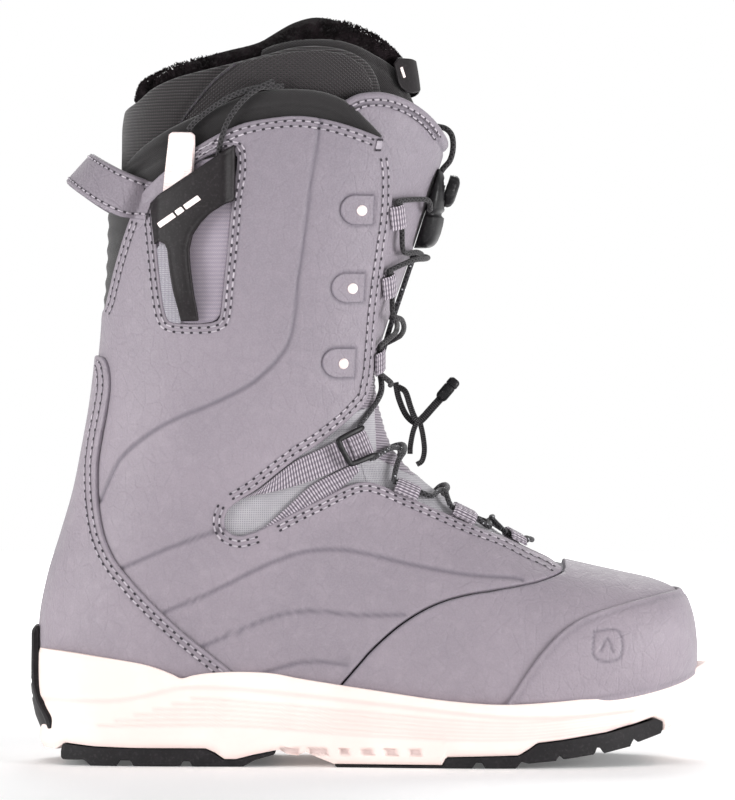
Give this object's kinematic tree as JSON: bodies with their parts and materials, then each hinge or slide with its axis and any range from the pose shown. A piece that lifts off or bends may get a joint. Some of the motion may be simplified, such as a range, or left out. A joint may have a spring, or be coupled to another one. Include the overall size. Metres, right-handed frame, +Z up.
{
  "type": "snowboard boot",
  "caption": "Right snowboard boot with leather shell, treaded sole, speed lacing with pocketed pull handles, webbing eyes and a fleece-topped padded liner.",
  "frame": {"origin": "on the floor below the middle of the boot, at the centre of its bounding box", "axes": "+X towards the toe, +Y towards the inner (medial) side, +Z up"},
  "size_m": [0.2908, 0.1113, 0.3164],
  "materials": {
    "grey_leather": "soft grained",
    "black_rubber": "matte",
    "pale_foam": "matte moulded",
    "grey_cloth": "woven",
    "black_neoprene": "stretch knit",
    "black_mesh": "knitted mesh",
    "dark_fleece": "deep pile",
    "pale_webbing": "ribbed weave",
    "black_plastic": "satin",
    "pale_plastic": "satin",
    "black_cord": "braided",
    "spring_steel": "bright",
    "board": "fibre board"
  },
  "bodies": {
    "boot": {"ankle_loop_lateral": "pale_webbing", "ankle_loop_medial": "pale_webbing", "ankle_strap_lateral": "pale_webbing", "ankle_strap_medial": "pale_webbing", "collar_padding": "black_neoprene", "cuff_loop_lateral_1": "pale_webbing", "cuff_loop_lateral_2": "pale_webbing", "cuff_loop_lateral_3": "pale_webbing", "cuff_loop_medial_1": "pale_webbing", "cuff_loop_medial_2": "pale_webbing", "cuff_loop_medial_3": "pale_webbing", "footbed": "grey_cloth", "forefoot_loop_lateral_1": "pale_webbing", "forefoot_loop_lateral_2": "pale_webbing", "forefoot_loop_lateral_3": "pale_webbing", "forefoot_loop_medial_1": "pale_webbing", "forefoot_loop_medial_2": "pale_webbing", "forefoot_loop_medial_3": "pale_webbing", "forefoot_outsole": "black_rubber", "handle_cord_lateral": "black_cord", "handle_cord_medial": "black_cord", "heel_bumper": "black_rubber", "heel_counter": "grey_leather", "heel_outsole": "black_rubber", "lace_lock_housing": "black_plastic", "lasting_board": "board", "liner_body": "black_mesh", "liner_fleece": "dark_fleece", "liner_tongue": "black_mesh", "lock_spring": "spring_steel", "lower_lace": "black_cord", "midsole": "pale_foam", "pocket_backing_lateral": "grey_cloth", "pocket_backing_medial": "grey_cloth", "pocket_retainer_lateral": "black_rubber", "pocket_retainer_medial": "black_rubber", "pull_loop": "grey_leather", "quarter_lateral": "grey_leather", "quarter_medial": "grey_leather", "rear_gusset": "black_neoprene", "release_loop": "black_cord", "rivet_lateral_1": "pale_plastic", "rivet_lateral_2": "pale_plastic", "rivet_lateral_3": "pale_plastic", "rivet_medial_1": "pale_plastic", "rivet_medial_2": "pale_plastic", "rivet_medial_3": "pale_plastic", "shell_lining": "grey_cloth", "toe_cap": "grey_leather", "tongue_flex_panel": "pale_webbing", "tongue_lower": "grey_cloth", "tongue_upper": "grey_leather", "upper_lace": "black_cord", "vamp": "grey_leather"},
    "pull_handle_lateral": {"pull_handle_lateral": "pale_plastic"},
    "ankle_slider_lateral": {"ankle_slider_lateral": "black_plastic"},
    "pull_handle_medial": {"pull_handle_medial": "pale_plastic"},
    "ankle_slider_medial": {"ankle_slider_medial": "black_plastic"},
    "lace_lock_button": {"lace_lock_button": "pale_plastic"},
    "release_toggle": {"release_toggle": "black_plastic"}
  },
  "joints": [
    {"name": "lateral_handle_pull", "type": "slide", "parent": "boot", "child": "pull_handle_lateral", "axis": [0.0223, -0.02, 0.9996], "range_m": [0, 0.06], "deforming": ["handle_cord_lateral"]},
    {"name": "medial_handle_pull", "type": "slide", "parent": "boot", "child": "pull_handle_medial", "axis": [0.0223, 0.02, 0.9996], "range_m": [0, 0.06], "deforming": ["handle_cord_medial"]},
    {"name": "ankle_slider_lateral", "type": "slide", "parent": "boot", "child": "ankle_slider_lateral", "axis": [-0.8556, -0.1208, -0.5033], "range_m": [0, 0.004]},
    {"name": "ankle_slider_medial", "type": "slide", "parent": "boot", "child": "ankle_slider_medial", "axis": [-0.8556, 0.1208, -0.5033], "range_m": [0, 0.004]},
    {"name": "lock_button_press", "type": "slide", "parent": "boot", "child": "lace_lock_button", "axis": [-0.9501, 0, 0.312], "range_m": [0, 0.0012], "stiffness_N_per_m": 700, "springref_m": -0.0008, "deforming": ["lock_spring"]},
    {"name": "release_tab_swing", "type": "hinge", "parent": "boot", "child": "release_toggle", "pos_m": [0.0223, 0, 0.1458], "axis": [0, 1, 0], "range_deg": [-30, 30]}
  ]
}
